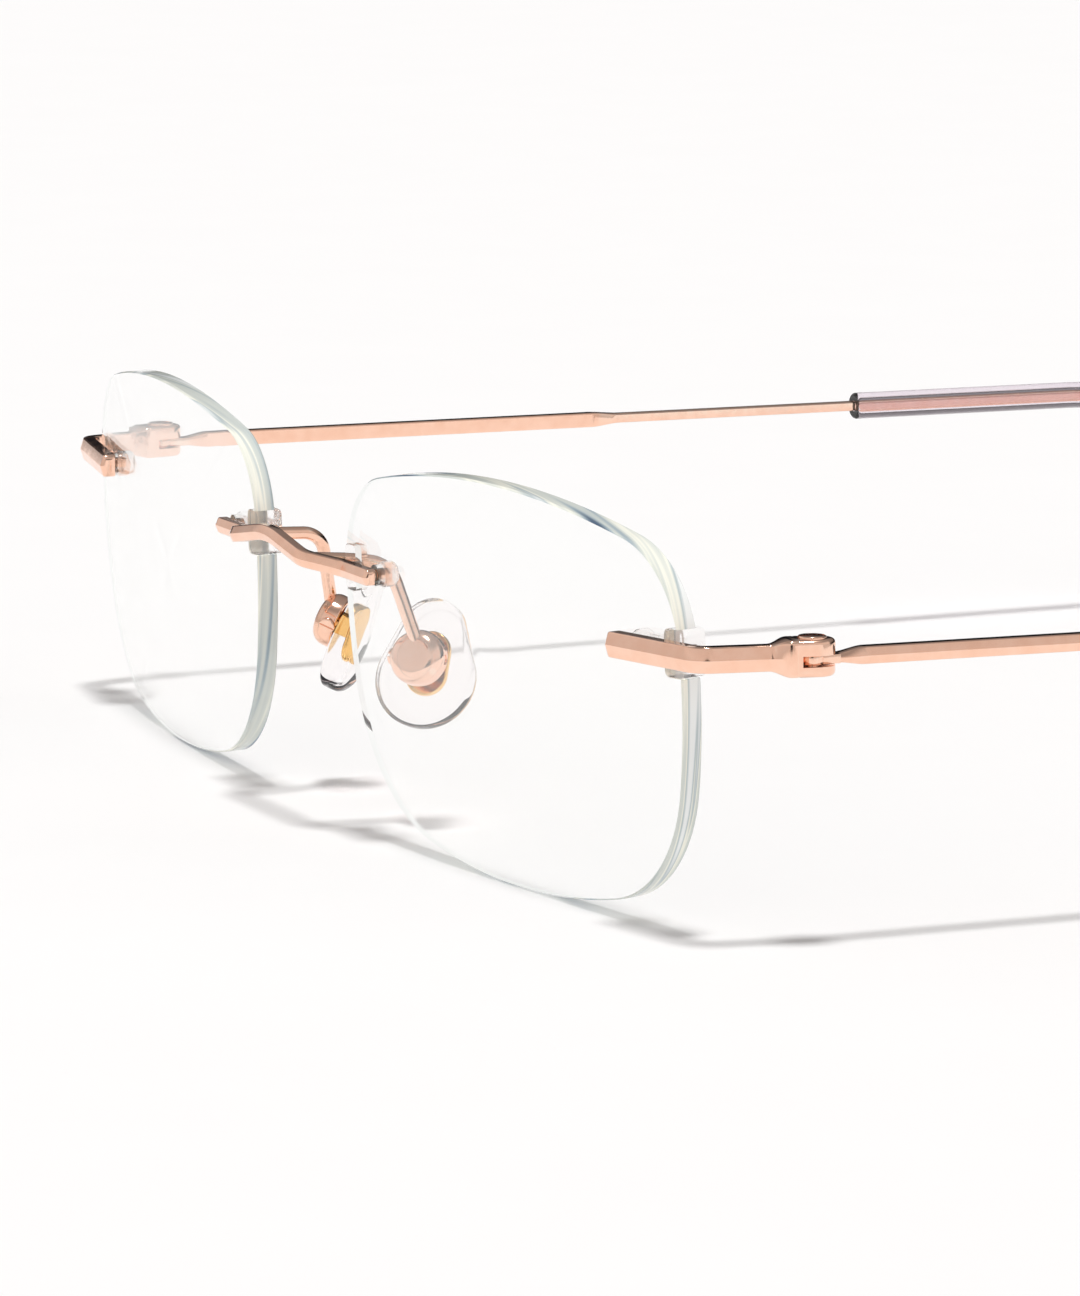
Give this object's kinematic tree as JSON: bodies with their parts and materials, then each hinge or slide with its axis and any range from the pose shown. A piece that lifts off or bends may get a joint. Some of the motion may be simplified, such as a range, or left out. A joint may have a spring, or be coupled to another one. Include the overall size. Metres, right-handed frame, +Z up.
{
  "type": "rimless eyeglasses",
  "caption": "Rimless eyeglasses: clear drilled lenses on a rose gold bridge and end pieces, hinged slim temples with clear tips, and rocking nose pads.",
  "frame": {"origin": "On the table, under the middle of the open glasses: the middle of the box in X and Y, lowest point of the lenses and temple tips in Z.", "axes": "+X to the wearer's left, +Y from the lenses back along the temples, +Z up."},
  "size_m": [0.1334, 0.1522, 0.0309],
  "materials": {
    "lens": "clear, polished edge",
    "rose_gold": "polished rose gold plating",
    "gold_insert": "polished gold",
    "clear_sleeve": "clear",
    "clear_tip": "clear",
    "clear_pad": "clear"
  },
  "bodies": {
    "front": {"bridge": "rose_gold", "lens_left": "lens", "lens_right": "lens", "end_posts_left": "rose_gold", "end_posts_right": "rose_gold", "end_sleeve_left": "clear_sleeve", "end_sleeve_right": "clear_sleeve", "bridge_posts_left": "rose_gold", "bridge_posts_right": "rose_gold", "bridge_sleeve_left": "clear_sleeve", "bridge_sleeve_right": "clear_sleeve", "hinge_screw_left": "rose_gold", "hinge_screw_right": "rose_gold", "end_piece_left": "rose_gold", "end_piece_right": "rose_gold", "pad_screw_left": "rose_gold", "pad_screw_right": "rose_gold", "pad_box_left": "rose_gold", "pad_box_right": "rose_gold", "pad_arm_left": "rose_gold", "pad_arm_right": "rose_gold"},
    "temple_left": {"temple_left": "rose_gold", "temple_tip_left": "clear_tip"},
    "temple_right": {"temple_right": "rose_gold", "temple_tip_right": "clear_tip"},
    "pad_left": {"nose_pad_left": "clear_pad", "pad_insert_left": "gold_insert"},
    "pad_right": {"nose_pad_right": "clear_pad", "pad_insert_right": "gold_insert"}
  },
  "joints": [
    {"name": "temple_left_hinge", "type": "hinge", "parent": "front", "child": "temple_left", "pos_m": [0.06388, -0.05911, 0.02138], "axis": [0, 0, 1], "range_deg": [0, 90]},
    {"name": "temple_right_hinge", "type": "hinge", "parent": "front", "child": "temple_right", "pos_m": [-0.06388, -0.05911, 0.02138], "axis": [0, 0, -1], "range_deg": [0, 84]},
    {"name": "pad_left_rock", "type": "hinge", "parent": "front", "child": "pad_left", "pos_m": [0.0096, -0.06571, 0.01358], "axis": [0.7314, 0.682, 0], "range_deg": [-8, 8]},
    {"name": "pad_right_rock", "type": "hinge", "parent": "front", "child": "pad_right", "pos_m": [-0.0096, -0.06571, 0.01358], "axis": [-0.7314, 0.682, 0], "range_deg": [-8, 8]}
  ]
}
